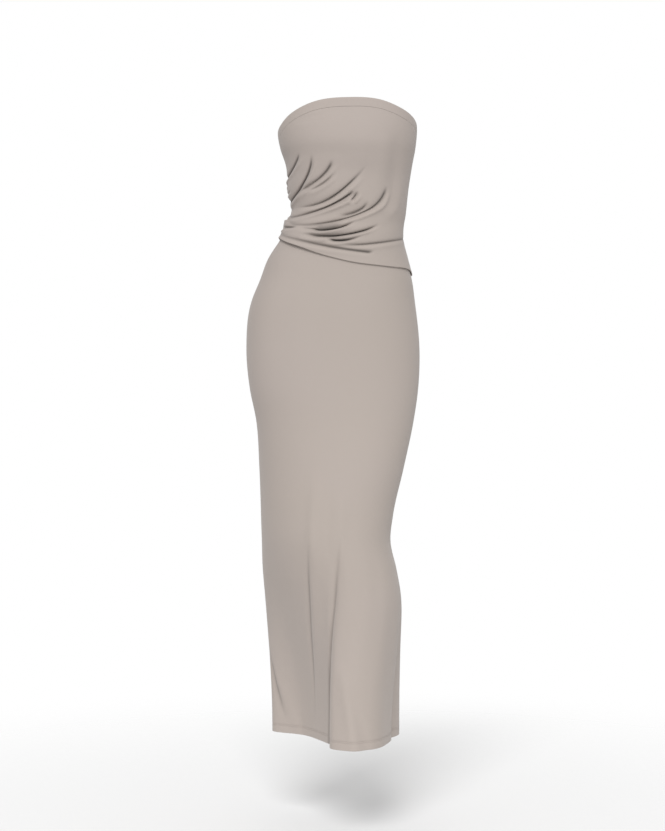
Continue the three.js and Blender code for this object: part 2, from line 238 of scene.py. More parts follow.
def outward(surface: Surface, turn: Array, z: Array) -> Array:
    """The outward direction of a surface.

    Args:
        surface: Gives the points at turns and heights.
        turn: The turns wanted.
        z: Their heights.

    Returns:
        A unit vector at each place.
    """
    turn_step = 0.0015
    z_step = 0.6
    across = surface(turn + turn_step, z) - surface(turn - turn_step, z)
    up = surface(turn, z + z_step) - surface(turn, z - z_step)
    normal = np.cross(across, up)
    return normal / np.linalg.norm(normal, axis=-1, keepdims=True)


def raised(surface: Surface, turn: Array, z: Array, height: Array) -> Array:
    """A surface's points, each moved outward by a height."""
    return surface(turn, z) + outward(surface, turn, z) * height[..., None]


class BodyForm:
    """The general figure's form that the cloth is cut to, evenly measured round."""

    SAMPLES = 160
    LEVEL = 4.0
    LAST_LEVEL = 1.001

    def __init__(self, sections: Sequence[Section]) -> None:
        """Measures the form's ovals level by level.

        Args:
            sections: The ovals that the form passes through.
        """
        at = [section.z for section in sections]
        names = ("left", "right", "front", "back", "lean", "power")
        self.curves = {n: SmoothCurve(at, [getattr(s, n) for s in sections]) for n in names}
        self.levels = np.arange(min(at), max(at) + self.LEVEL, self.LEVEL)
        shares = np.linspace(0, 1, self.SAMPLES + 1)
        angles = []
        lengths = []
        for half in (0, 1):
            around = np.pi * (half - 1 + shares)
            x, y = self.oval(around[None, :], self.levels[:, None])
            steps = np.hypot(np.diff(x, axis=1), np.diff(y, axis=1))
            run = np.concatenate([np.zeros((len(self.levels), 1)), np.cumsum(steps, axis=1)], axis=1)
            lengths.append(run[:, -1])
            angles.append([np.interp(shares * row[-1], row, around) for row in run])
        self.angles = np.array(angles)
        self.lengths = np.array(lengths)

    def oval(self, angle: Array, z: Array) -> tuple[Array, Array]:
        """The oval's x and y at an angle and a height.

        Args:
            angle: Radians round the oval, 0 at +X.
            z: Heights.

        Returns:
            The x and the y of each place.
        """
        size = {name: curve(z) for name, curve in self.curves.items()}
        bend = 2 / size["power"]
        across = np.cos(angle)
        deep = np.sin(angle)
        x = (size["right"] - size["left"]) / 2 * np.sign(across) * np.abs(across) ** bend
        y = (size["back"] - size["front"]) / 2 * np.sign(deep) * np.abs(deep) ** bend
        mid_x = (size["left"] + size["right"]) / 2
        mid_y = (size["front"] + size["back"]) / 2
        return mid_x + x, mid_y + y - size["lean"] * x

    def point(self, turn: Array, z: Array) -> Array:
        """The form's points at turns and heights.

        Args:
            turn: Turns.
            z: Their heights.

        Returns:
            A point for each place.
        """
        turn, z = np.broadcast_arrays(turn, z)
        ring = np.mod(turn, 2)
        half = (ring >= 1).astype(int)
        level = np.clip((z - self.levels[0]) / self.LEVEL, 0, len(self.levels) - self.LAST_LEVEL)
        row = level.astype(int)
        share = (ring - half) * self.SAMPLES
        column = np.minimum(share.astype(int), self.SAMPLES - 1)
        down = level - row
        over = share - column
        angles = self.angles
        low = mix(angles[half, row, column], angles[half, row, column + 1], over)
        high = mix(angles[half, row + 1, column], angles[half, row + 1, column + 1], over)
        x, y = self.oval(mix(low, high, down), z)
        return np.stack([x, y, z], axis=-1)

    def half_length(self, back: Array, z: Array) -> Array:
        """The length from seam to seam across the front, or the back, at a height."""
        lengths = [np.interp(z, self.levels, row) for row in self.lengths]
        return np.where(back, lengths[1], lengths[0])

    def along(self, turn: Array, z: Array) -> Array:
        """Millimetres round from the left seam, negative across the back."""
        ring = np.mod(turn + 1, 2) - 1
        return ring * self.half_length(ring < 0, z)

    def along_from_right(self, turn: Array, z: Array) -> Array:
        """Millimetres round from the right seam, negative across the back."""
        ring = np.mod(turn, 2)
        return (1 - ring) * self.half_length(ring >= 1, z)


class Side(Enum):
    """The seam that a crease is measured from."""

    LEFT = "left"
    RIGHT = "right"


class Held(Enum):
    """How a piece of cloth is held."""

    GATHERED = "gathered"
    STRETCHED = "stretched"
    HUNG = "hung"


class Slot(Enum):
    """The pieces' finishes."""

    JERSEY = "jersey"
    BAND = "band"


class Half(Enum):
    """A half of the dress, by the turns of its seams."""

    FRONT = (0, 1)
    BACK = (1, 2)


@dataclass(frozen=True)
class Lap:
    """How a lower edge runs on under its neighbour at a seam, so that no light passes."""

    reach: float = 2.2
    drop: float = 0.95
    slope: float = 1.2
    second_column: float = 0.8
    third_column: float = 1.7

    def depth(self, past: Array) -> Array:
        """How far the lower cloth has sunk, at a distance past the seam."""
        return self.drop * ease(-self.slope, SEAM_GAP / 2, past)

    def upper_steps(self) -> tuple[float, ...]:
        """Distances in from the seam at which the upper edge has its first columns."""
        return (SEAM_GAP / 2, self.second_column, self.third_column)

    def lower_steps(self) -> tuple[float, ...]:
        """The same for the lower edge, whose first columns lie past the seam."""
        return (-self.reach, -SEAM_GAP / 2, self.slope / 2, self.slope)


@dataclass(frozen=True)
class Swelling:
    """A place where the bodice layer swells off the form, between its folds."""

    along: float
    z: float
    reach_along: float
    reach_z: float
    height: float

    def at(self, along: Array, z: Array) -> Array:
        """The swelling's height at places on the cloth.

        Args:
            along: Millimetres along the cloth.
            z: Heights.

        Returns:
            The height at each place.
        """
        across = (along - self.along) / self.reach_along
        up = (z - self.z) / self.reach_z
        return self.height * ease(0, 1, 1 - np.hypot(across, up))


SWELLINGS = table(
    Swelling,
    (6, -125, 95, 46, 4.2),
    (95, -108, 105, 58, 5),
    (-6, -194, 110, 34, 6.6),
    (135, -163, 145, 72, 7),
    (150, -222, 175, 48, 6),
    (255, -180, 95, 115, 3.2),
    (-120, -215, 130, 60, 2.6),
)


@dataclass(frozen=True)
class Crease:
    """A fold's crease, from its root to its tip, in millimetres along the cloth and up.

    Headings are degrees up from level. Depth is a share of the swelling that it
    cuts through, root is the share of that depth at its root, and it is deepest from
    a share of the way on. Fade is the share over which it ends, and tail is how far
    it runs on behind its root. Dark is the depth of the shade painted into the colour
    along it, and gape widens its bottom.
    """

    name: str
    along: float
    z: float
    heading: float
    tip_along: float
    tip_z: float
    tip_heading: float
    depth: float
    width: float
    fade: float
    tail: float
    root: float = 1.0
    side: Side = Side.LEFT
    deepest: float = 0.55
    dark: float = 0.68
    gape: float = 1.0

    STEPS = 28
    HEAD_FADE = (-0.1, 0.22)
    HALF_TAIL = 0.7

    def path(self) -> tuple[Array, Array]:
        """The crease's points, and its depth at each.

        Returns:
            The points, along the cloth and up, and the depths.
        """
        start = np.array([self.along, self.z])
        tip = np.array([self.tip_along, self.tip_z])
        reach = np.linalg.norm(tip - start)
        headings = np.radians([self.heading, self.tip_heading])
        leaving, arriving = np.stack([np.cos(headings), np.sin(headings)], axis=-1)
        t = np.linspace(0, 1, self.STEPS + 1)[:, None]
        from_start, from_tip, from_leaving, from_arriving = smooth_weights(t)
        points = from_start * start + from_tip * tip
        points = points + reach * from_leaving * leaving + reach * from_arriving * arriving
        growing = mix(self.root, 1, ease(0, self.deepest, t[:, 0]))
        depths = self.depth * growing * ease(0, self.fade, 1 - t[:, 0])
        if self.tail > 0:
            behind = start - self.tail * leaving * np.array([[1.0], [0.5]])
            points = np.concatenate([behind, points])
            depths = np.concatenate([[0, self.HALF_TAIL * self.depth * self.root], depths])
        else:
            depths = depths * ease(*self.HEAD_FADE, t[:, 0])
        return points, depths

    def measure(self, along: Array, z: Array) -> tuple[Array, Array]:
        """Measures from places on the cloth to the crease.

        Args:
            along: Millimetres along the cloth.
            z: Heights.

        Returns:
            The step from the crease's nearest point to each place, and its depth there.
        """
        points, depths = self.path()
        run = points[1:] - points[:-1]
        offset = np.stack([along, z], axis=-1)[..., None, :] - points[:-1]
        share = np.clip((offset * run).sum(-1) / (run**2).sum(-1), 0, 1)
        gap = offset - run * share[..., None]
        nearest = np.argmin((gap**2).sum(-1), axis=-1)[..., None]
        at = np.take_along_axis(share, nearest, axis=-1)[..., 0]
        step = np.take_along_axis(gap, nearest[..., None], axis=-2)[..., 0, :]
        segment = nearest[..., 0]
        return step, mix(depths[segment], depths[segment + 1], at)


CREASES = (
    Crease("underarm", 0, -101, -6, 85, -61, 48, 0.95, 7, 0.2, 30, 0.9),
    Crease("side_upper", 0, -146, -14, 110, -64, 68, 1, 7.5, 0.2, 45, 0.9),
    Crease("bust_inner", 0, -152, 12, 146, -78, 54, 1, 7.5, 0.12, 20, 0.1, deepest=1, gape=1.3),
    Crease("bust_inner_low", 83, -135, 12, 146, -99, 42, 0.5, 6, 0.4, 0, 0.6),
    Crease("midriff_long", 52, -164, -6, 210, -84, 42, 1, 7.5, 0.36, 0, 0.5, dark=0.72),
    Crease("midriff_deep", 0, -171, -33, 168, -138, 29, 1, 8, 0.06, 60, 0.4, deepest=0.9, dark=0.85),
    Crease("midriff_short", 159, -155, 38, 178, -137, 46, 0.8, 6, 0.5, 0),
    Crease("sweep", 12, -173, -50, 235, -125, 64, 1, 8, 0.08, 0, 0.2, deepest=0.9, gape=1.3),
    Crease("above_sweep", 143, -184, 15, 192, -155, 53, 0.85, 8, 0.35, 0, 0.6),
    Crease("waist_root", 0, -200, -2, 76, -205, -4, 0.75, 7, 0.35, 70, 0.35),
    Crease("waist_pocket", 76, -206, -8, 178, -194, 36, 0.95, 7, 0.25, 0, 0.4),
    Crease("pocket_lens", 106, -207, -16, 164, -202, 20, 1, 6, 0.4, 0, 0.8, dark=1, gape=2.5),
    Crease("waist_long", 98, -220, -7, 226, -198, 38, 1, 7, 0.22, 0, 0.6, dark=0.95, gape=1.4),
    Crease("waist_short", 150, -229, -12, 212, -222, 25, 1, 6, 0.55, 0, dark=1, gape=1.4),
    Crease("edge_tuck", 0, -209, -14, 254, -254, -4, 1, 7, 0.04, 40, 0.4, deepest=1, gape=1.3),
    Crease("soft_front", 216, -176, 49, 272, -72, 69, 0.5, 16, 0.6, 0),
    Crease("gather_a", 0, -118, 6, 30, -110, 22, 0.25, 4, 0.6, 18),
    Crease("gather_b", 0, -133, -4, 42, -128, 16, 0.25, 4, 0.6, 26),
    Crease("gather_c", 0, -162, -8, 38, -163, 4, 0.22, 4, 0.6, 24),
    Crease("gather_d", 0, -184, -6, 62, -186, 4, 0.25, 4, 0.6, 30),
    Crease("gather_e", 0, -203, -4, 50, -205, -2, 0.22, 4, 0.6, 26),
    Crease("gather_f", 0, -214, -8, 44, -220, -8, 0.2, 4, 0.6, 20),
    Crease("back_high", 0, -128, 168, -120, -98, 160, 0.7, 8, 0.5, 0),
    Crease("back_side", 0, -158, 174, -86, -146, 168, 0.5, 6, 0.5, 0),
    Crease("back_waist", 0, -188, 182, -170, -208, 188, 0.8, 8, 0.5, 0),
    Crease("back_low", -20, -214, 188, -190, -238, 186, 0.7, 8, 0.5, 0),
    Crease("hip_tuck", 0, -219, -6, 190, -239, 6, 0.8, 7, 0.3, 50, 0.8, Side.RIGHT),
)


@dataclass(frozen=True)
class Ripple:
    """A small soft ridge or, with a negative height, a trough in the bodice layer."""

    along: float
    z: float
    end_along: float
    end_z: float
    height: float
    width: float

    FADE = 0.3

    def at(self, along: Array, z: Array) -> Array:
        """The ripple's height at places on the cloth.

        Args:
            along: Millimetres along the cloth.
            z: Heights.

        Returns:
            The height at each place.
        """
        run = np.array([self.end_along - self.along, self.end_z - self.z])
        offset = np.stack([along - self.along, z - self.z], axis=-1)
        share = np.clip((offset * run).sum(-1) / (run**2).sum(), 0, 1)
        gap = np.linalg.norm(offset - run * share[..., None], axis=-1)
        height = self.height * bell(gap, self.width)
        return height * ease(0, self.FADE, share) * ease(0, self.FADE, 1 - share)


RIPPLES = table(
    Ripple,
    (84, -2, 150, 4, -0.8, 3.5),
    (84, -9, 150, -3, -0.7, 3.5),
    (118, -6, 158, 1, 0.6, 3.5),
    (318, 12, 345, -40, -0.6, 5),
    (330, 2, 352, -50, 0.5, 5),
    (303, -18, 228, -150, -2.4, 15),
    (268, -30, 208, -140, 1.5, 15),
    (-36, -50, -60, -120, -0.8, 12),
    (-150, -60, -120, -150, -1.1, 16),
    (-240, -70, -262, -210, -1.2, 16),
    (-310, -60, -330, -190, -1.0, 13),
)


@dataclass(frozen=True)
class SkirtFold:
    """A long soft fold of the skirt: height is outward, and negative in a crease."""

    turn: float
    z: float
    foot_turn: float
    foot_z: float
    height: float
    width: float
    bow: float = 0.0
    # How much shade is painted into the colour along the fold.
    shade: float = 0.0

    def middle(self, share: Array) -> Array:
        """The turn of the fold's line, a share of the way down it."""
        inside = np.clip(share, 0, 1)
        return mix(self.turn, self.foot_turn, inside) + self.bow * np.sin(np.pi * inside)


SKIRT_FOLDS = table(
    SkirtFold,
    (0.617, -770, 0.485, -1191, -3, 8, -0.018),
    (0.617, -780, 0.485, -1191, -2, 2.8, -0.018, 0.26),
    (0.543, -930, 0.478, -1191, -1.8, 3.4, -0.005, 0.26),
    (0.51, -1010, 0.462, -1191, -0.8, 4.5, 0.0, 0.34),
    (0.66, -780, 0.545, -1191, 2.6, 14, -0.014),
    (0.467, -770, 0.322, -1170, -2.2, 8, -0.008),
    (0.467, -780, 0.322, -1170, -1.2, 2.8, -0.008, 0.34),
    (0.49, -680, 0.4, -1060, 2.2, 14),
    (0.44, -640, 0.49, -900, 1.8, 11),
    (0.585, -680, 0.63, -900, 1.8, 10),
    (0.54, -700, 0.55, -860, -1.2, 9),
    (0.0, -1015, 0.11, -1175, -3.2, 7, 0.0, 0.1),
    (0.0, -1005, 0.11, -1165, -0.8, 2.6, 0.0, 0.34),
    (0.06, -1060, 0.17, -1191, 1.4, 12),
    (0.6, -1020, 0.66, -1191, 3.6, 10),
    (0.63, -1060, 0.71, -1191, -1.6, 10),
    (0.76, -780, 0.735, -1080, -1.8, 16),
    (0.83, -880, 0.86, -1191, -3, 22),
    (0.3, -260, 0.27, -520, -1.2, 26),
    (1.36, -560, 1.3, -760, -4, 30),
    (1.66, -590, 1.72, -760, -3, 28),
    (1.42, -800, 1.38, -1191, -9, 26, 0.0, 0.06),
    (1.5, -860, 1.5, -1191, 3, 22),
    (1.58, -840, 1.6, -1191, 6, 30),
    (1.74, -860, 1.77, -1191, -8, 24, 0.0, 0.06),
)


@dataclass
class ClothGrid:
    """A cloth surface as rows of points that run down, with columns that run round.

    A closed grid joins its last column to its first. The uv of a closed grid has
    one column more, so that the weave runs on across the join.
    """

    points: Array
    uv: Array
    # Light painted into the colour: 1 where unshaded, lower where crease shade is painted.
    painted_light: Array
    closed: bool = False

    TURN_ANGLES = (36, 72, 108, 144)

    def normals(self) -> Array:
        """The outward direction at each point.

        Returns:
            A unit vector for each point.
        """
        if self.closed:
            across = np.roll(self.points, -1, axis=1) - np.roll(self.points, 1, axis=1)
        else:
            across = np.gradient(self.points, axis=1)
        down = np.gradient(self.points, axis=0)
        normal = np.cross(across, -down)
        return normal / np.linalg.norm(normal, axis=-1, keepdims=True)

    def turned_under(self, depth: float, gap: float, outwards: Array | None = None) -> ClothGrid:
        """The grid with its foot folded to the inside, as a hem is turned.

        Args:
            depth: How far the turned edge reaches back up.
            gap: The distance between the two layers' outer faces.
            outwards: The outward directions, where they aren't the grid's own.

        Returns:
            A new grid with the turned rows added after the foot.
        """
        normals = self.normals() if outwards is None else outwards
        foot = self.points[-1]
        down = foot - self.points[-2]
        down = down / np.linalg.norm(down, axis=-1, keepdims=True)
        radius = gap / 2
        rows = []
        run = []
        for angle in np.radians(self.TURN_ANGLES):
            rows.append(foot + radius * (down * math.sin(angle) - normals[-1] * (1 - math.cos(angle))))
            run.append(radius * angle)
        steps = np.linalg.norm(np.diff(self.points, axis=0), axis=-1).mean(axis=1)[::-1]
        climbed = np.concatenate([[0], np.cumsum(steps)])
        for k in np.flatnonzero(climbed <= depth):
            rows.append(self.points[-1 - k] - normals[-1 - k] * gap)
            run.append(radius * np.pi + climbed[k])
        added = np.stack([self.uv[-1] - np.array([0, r * METRES]) for r in run])
        shade = np.repeat(self.painted_light[-1:], len(rows), axis=0)
        return ClothGrid(
            np.concatenate([self.points, np.stack(rows)]),
            np.concatenate([self.uv, added]),
            np.concatenate([self.painted_light, shade]),
            self.closed,
        )

    def folded_over(self, depth: float, gap: float) -> ClothGrid:
        """The grid with its top folded to the inside, as a band is folded double.

        Args:
            depth: How far the folded edge reaches down.
            gap: The distance between the two layers' outer faces.

        Returns:
            A new grid with the folded rows added before the top.
        """
        flipped = ClothGrid(self.points[::-1], self.uv[::-1], self.painted_light[::-1], self.closed)
        turned = flipped.turned_under(depth, gap, -flipped.normals())
        return ClothGrid(turned.points[::-1], turned.uv[::-1], turned.painted_light[::-1], self.closed)

    def mesh(self, name: str) -> bpy.types.Mesh:
        """The grid as a Blender mesh in metres, with its uv map and its painted light.

        Args:
            name: The mesh's name.

        Returns:
            A smooth mesh of quads that face outwards.
        """
        rows, columns = self.points.shape[:2]
        spans = columns if self.closed else columns - 1
        i, j = np.meshgrid(np.arange(rows - 1), np.arange(spans), indexing="ij")
        i = i.ravel()
        j = j.ravel()
        corners = ((i, j), (i + 1, j), (i + 1, j + 1), (i, j + 1))
        faces = np.stack([r * columns + c % columns for r, c in corners], axis=-1)
        mesh = bpy.data.meshes.new(name)
        mesh.from_pydata((self.points.reshape(-1, 3) * METRES).tolist(), [], faces.tolist())
        mesh.polygons.foreach_set("use_smooth", np.ones(len(faces), bool))
        layer = mesh.uv_layers.new(name=Jersey.UV)
        layer.data.foreach_set("uv", np.stack([self.uv[r, c] for r, c in corners], axis=1).ravel())
        # The painted light is stored on the points; the material darkens the colour by it.
        shade = mesh.attributes.new(Jersey.PAINTED_LIGHT, "FLOAT", "POINT")
        shade.data.foreach_set("value", self.painted_light.ravel())
        mesh.update()
        return mesh


Value = Union["Signal", float]
Settings = Mapping[str, object]
Inputs = Mapping[Union[int, str], object]


class Signal:
    """A value in a shader, which takes part in plain Python expressions."""

    def __init__(self, graph: Graph, socket: bpy.types.NodeSocket) -> None:
        """Wraps an output socket of a graph's node."""
        self.graph = graph
        self.socket = socket

    def math(self, operation: str, first: Value, second: Value = 0.0) -> Signal:
        """Adds one Math node and gives its result."""
        node = self.graph.node("ShaderNodeMath", {"operation": operation}, {0: first, 1: second})
        return Signal(self.graph, node.outputs[0])

    def __add__(self, other: Value) -> Signal:
        """self + other."""
        return self.math("ADD", self, other)

    __radd__ = __add__

    def __sub__(self, other: Value) -> Signal:
        """self - other."""
        return self.math("SUBTRACT", self, other)

    def __rsub__(self, other: Value) -> Signal:
        """other - self."""
        return self.math("SUBTRACT", other, self)

    def __mul__(self, other: Value) -> Signal:
        """self * other."""
        return self.math("MULTIPLY", self, other)

    __rmul__ = __mul__

    def __truediv__(self, other: Value) -> Signal:
        """self / other."""
        return self.math("DIVIDE", self, other)

    def __rtruediv__(self, other: Value) -> Signal:
        """other / self."""
        return self.math("DIVIDE", other, self)

    def __pow__(self, other: Value) -> Signal:
        """self to the power of other."""
        return self.math("POWER", self, other)

    def __abs__(self) -> Signal:
        """The size of self."""
        return self.math("ABSOLUTE", self)

    def fraction(self) -> Signal:
        """What is left of self past its whole number."""
        return self.math("FRACT", self)

    def cosine(self) -> Signal:
        """The cosine of self."""
        return self.math("COSINE", self)


class Graph:
    """A node tree, and the one way that nodes are added to it."""

    COLOUR_SOCKETS = (0, 6, 7)
    COLOUR_OUTPUT = 2

    def __init__(self, owner: bpy.types.Material | bpy.types.World | bpy.types.NodeTree) -> None:
        """Empties the owner's node tree.

        Args:
            owner: A material or a world, or a tree of Geometry Nodes.
        """
        self.owner = owner
        if isinstance(owner, bpy.types.NodeTree):
            self.tree = owner
        else:
            owner.use_nodes = True
            self.tree = owner.node_tree
        self.tree.nodes.clear()

    def node(
        self, kind: str, settings: Settings | None = None, inputs: Inputs | None = None
    ) -> bpy.types.Node:
        """Adds a node.

        Args:
            kind: The node's type.
            settings: Its properties, set first.
            inputs: A value or a link for each socket, by name or number.

        Returns:
            The node.
        """
        node = self.tree.nodes.new(kind)
        for name, value in (settings or {}).items():
            setattr(node, name, value)
        for key, value in (inputs or {}).items():
            socket = node.inputs[key]
            if isinstance(value, Signal):
                self.tree.links.new(value.socket, socket)
            elif isinstance(value, bpy.types.NodeSocket):
                self.tree.links.new(value, socket)
            else:
                socket.default_value = value
        return node

    def signal(
        self,
        kind: str,
        settings: Settings | None = None,
        inputs: Inputs | None = None,
        output: int | str = 0,
    ) -> Signal:
        """Adds a node and gives one of its outputs."""
        return Signal(self, self.node(kind, settings, inputs).outputs[output])

    def mixed(self, share: Value, first: object, second: object) -> Signal:
        """A colour that is mixed from two."""
        inputs = dict(zip(self.COLOUR_SOCKETS, (share, first, second)))
        return self.signal("ShaderNodeMix", {"data_type": "RGBA"}, inputs, self.COLOUR_OUTPUT)

    def noise(self, scale: float, detail: float) -> Signal:
        """A soft noise on the object's own coordinates."""
        inputs = {"Vector": self.place(), "Scale": scale, "Detail": detail}
        return self.signal("ShaderNodeTexNoise", inputs=inputs)

    def place(self) -> Signal:
        """The object's own coordinates."""
        return self.signal("ShaderNodeTexCoord", output="Object")

    def bump(self, strength: float, distance: float, height: Signal, **under: Signal) -> Signal:
        """A relief on the surface, or on another relief, given as Normal."""
        inputs = {"Strength": strength, "Distance": distance, "Height": height, **under}
        return self.signal("ShaderNodeBump", inputs=inputs)

    def finish(self, shader: bpy.types.Node, output: str = "ShaderNodeOutputMaterial") -> object:
        """Joins the shader to an output node and gives the tree's owner."""
        self.node(output, inputs={"Surface": shader.outputs[0]})
        return self.owner


def mix_value(start: float, end: float, share: Signal) -> Signal:
    """A shader value a share of the way from start to end."""
    return share * (end - start) + start


Colour = tuple[float, float, float, float]
WHITE: Colour = (1, 1, 1, 1)


@dataclass(frozen=True)
class Jersey:
    """Smooth matte jersey: fine knit columns, shade painted into its creases and between its loops,
    and a faint sheen.
    """

    name: str = "matte_jersey"
    warm: Colour = (0.412, 0.360, 0.318, 1)
    cool: Colour = (0.432, 0.376, 0.350, 1)
    # The share of the colour left where crease shade is painted at its darkest.
    painted_shade_floor: float = 0.04
    wale: float = 0.0009
    course: float = 0.0007
    loop_share: float = 0.65
    broad_scale: float = 3.2
    broad_detail: float = 2.0
    yarn_scale: float = 900.0
    slub_scale: float = 90.0
    fine_detail: float = 3.0
    yarn_shade: tuple[float, float] = (0.97, 1.03)
    # The colour is painted darker between the knit loops and lighter on their tops: painted shade.
    knit_shade: tuple[float, float] = (0.965, 1.015)
    knit_bump: float = 0.5
    knit_height: float = 0.00012
    slub_bump: float = 0.35
    slub_height: float = 0.0003
    roughness: float = 0.82
    yarn_gloss: float = 0.08
    specular: float = 0.3
    sheen: float = 0.22
    sheen_roughness: float = 0.45

    UV = "cloth"
    PAINTED_LIGHT = "painted_light"

    def knit(self, graph: Graph) -> Signal:
        """The height of the knit loops, two slanted legs to each column.

        Args:
            graph: The material's graph.

        Returns:
            The height, from 0 between the loops to 1 on top of one.
        """
        place = graph.signal("ShaderNodeUVMap", {"uv_map": self.UV})
        split = graph.node("ShaderNodeSeparateXYZ", inputs={0: place})
        across = Signal(graph, split.outputs["X"])
        down = Signal(graph, split.outputs["Y"])
        middle = abs((across / self.wale).fraction() - 0.5) * 2
        leg = 1 - (middle * 2 - 1) ** 2
        loops = ((down / self.course + middle * 0.5) * (2 * math.pi)).cosine() * 0.5 + 0.5
        return leg * (loops * self.loop_share + (1 - self.loop_share))

    def material(self) -> bpy.types.Material:
        """Builds the material.

        Returns:
            The material.
        """
        graph = Graph(bpy.data.materials.new(self.name))
        broad = graph.noise(self.broad_scale, self.broad_detail)
        yarn = graph.noise(self.yarn_scale, self.fine_detail)
        slub = graph.noise(self.slub_scale, self.fine_detail)
        knit = self.knit(graph)
        painted_light = graph.signal(
            "ShaderNodeAttribute", {"attribute_name": self.PAINTED_LIGHT}, output="Fac"
        )
        ground = graph.mixed(broad, self.warm, self.cool)
        # The colour is darkened by the shade painted into creases and grooves, by the yarn's random
        # tone and by the painted shade between the knit loops.
        shade = mix_value(self.painted_shade_floor, 1.0, painted_light)
        shade = shade * mix_value(*self.yarn_shade, yarn) * mix_value(*self.knit_shade, knit)
        colour = graph.signal(
            "ShaderNodeVectorMath", {"operation": "SCALE"}, {0: ground, "Scale": shade}
        )
        loops = graph.bump(self.knit_bump, self.knit_height, knit)
        bumps = graph.bump(self.slub_bump, self.slub_height, slub, Normal=loops)
        shader = graph.node(
            "ShaderNodeBsdfPrincipled",
            inputs={
                "Base Color": colour,
                "Roughness": self.roughness - yarn * self.yarn_gloss,
                "Specular IOR Level": self.specular,
                "Sheen Weight": self.sheen,
                "Sheen Roughness": self.sheen_roughness,
                "Normal": bumps,
            },
        )
        return graph.finish(shader)


@dataclass(frozen=True)
class Thread:
    """Spun sewing thread with a twist, a shade deeper than the cloth."""

    name: str = "sewing_thread"
    colour: Colour = (0.36, 0.31, 0.28, 1)
    # How much lighter the twist's raised bands are painted: a painted highlight.
    light: float = 1.25
    painted_highlight_share: float = 0.4
    twist: float = 2600.0
    twist_bump: float = 0.4
    twist_height: float = 0.0001
    roughness: float = 0.6
    sheen: float = 0.2

    def material(self) -> bpy.types.Material:
        """Builds the material.

        Returns:
            The material.
        """
        graph = Graph(bpy.data.materials.new(self.name))
        inputs = {"Vector": graph.place(), "Scale": self.twist}
        wave = graph.signal("ShaderNodeTexWave", {"bands_direction": "DIAGONAL"}, inputs, "Fac")
        # A painted highlight: the colour is lighter where the twist's bands stand up.
        painted_highlight = tuple(part * self.light for part in self.colour[:3]) + (1,)
        shader = graph.node(
            "ShaderNodeBsdfPrincipled",
            inputs={
                "Base Color": graph.mixed(wave * self.painted_highlight_share, self.colour, painted_highlight),
                "Roughness": self.roughness,
                "Sheen Weight": self.sheen,
                "Normal": graph.bump(self.twist_bump, self.twist_height, wave),
            },
        )
        return graph.finish(shader)


@dataclass(frozen=True)
class PaleFloor:
    """A pale studio floor that fades out into the light round it."""

    name: str = "pale_floor"
    colour: Colour = (0.95, 0.95, 0.95, 1)
    fade_from: float = 1.3
    fade_to: float = 2.2

    def material(self) -> bpy.types.Material:
        """Builds the material.

        Returns:
            The material.
        """
        graph = Graph(bpy.data.materials.new(self.name))
        length = {"operation": "LENGTH"}
        far = graph.signal("ShaderNodeVectorMath", length, {0: graph.place()}, "Value")
        fading = graph.signal(
            "ShaderNodeMapRange",
            {"interpolation_type": "SMOOTHSTEP"},
            {"Value": far, "From Min": self.fade_from, "From Max": self.fade_to},
        )
        solid = graph.node("ShaderNodeBsdfDiffuse", inputs={"Color": self.colour})
        clear = graph.node("ShaderNodeBsdfTransparent")
        inputs = {0: fading, 1: solid.outputs[0], 2: clear.outputs[0]}
        return graph.finish(graph.node("ShaderNodeMixShader", inputs=inputs))


def placed(name: str, data: bpy.types.ID) -> bpy.types.Object:
    """Makes an object of a mesh, a lamp or a camera and puts it in the scene.

    Args:
        name: The object's name.
        data: Its mesh, lamp or camera.

    Returns:
        The object.
    """
    thing = bpy.data.objects.new(name, data)
    bpy.context.scene.collection.objects.link(thing)
    return thing


def shown(name: str, mesh: bpy.types.Mesh, material: bpy.types.Material) -> bpy.types.Object:
    """Puts a mesh in the scene with one material.

    Args:
        name: The object's name.
        mesh: Its mesh, already in place.
        material: What it is made of.

    Returns:
        The object.
    """
    mesh.materials.clear()
    mesh.materials.append(material)
    return placed(name, mesh)


def spaced(first: float, stretches: Sequence[tuple[float, int]]) -> Array:
    """Values in order: each stretch ends at a value and is cut into a count of steps.

    Args:
        first: The first value.
        stretches: The end and the count of each stretch.

    Returns:
        All the values.
    """
    values = [np.array([first])]
    last = first
    for to, count in stretches:
        values.append(np.linspace(last, to, count + 1)[1:])
        last = to
    return np.concatenate(values)


def panel_turns(half: Half, stretches: Sequence[tuple[float, int]], lap: Lap) -> Array:
    """The turns of a panel's columns, where the back's edges pass under the front's.

    Args:
        half: The front or the back.
        stretches: For each stretch, the share of the panel where it ends, and how
            many columns it holds.
        lap: How the edges meet.

    Returns:
        The turns in order.
    """
    start, end = half.value
    steps = lap.upper_steps() if half is Half.FRONT else lap.lower_steps()
    edge = np.array(steps) / HALF_GIRTH
    between = start + (end - start) * spaced(0, stretches)[1:-1]
    return np.concatenate([start + edge, between, end - edge[::-1]])


def past_seam(half: Half, turn: Array, lap: Lap) -> Array:
    """How far a panel has sunk under its neighbours at its side seams.

    Args:
        half: The front or the back.
        turn: Turns of the places.
        lap: How the edges meet.

    Returns:
        The depth at each place.
    """
    start, end = half.value
    past = np.maximum(start - turn, turn - end) * HALF_GIRTH
    return lap.depth(past) if half is Half.BACK else np.zeros_like(turn)


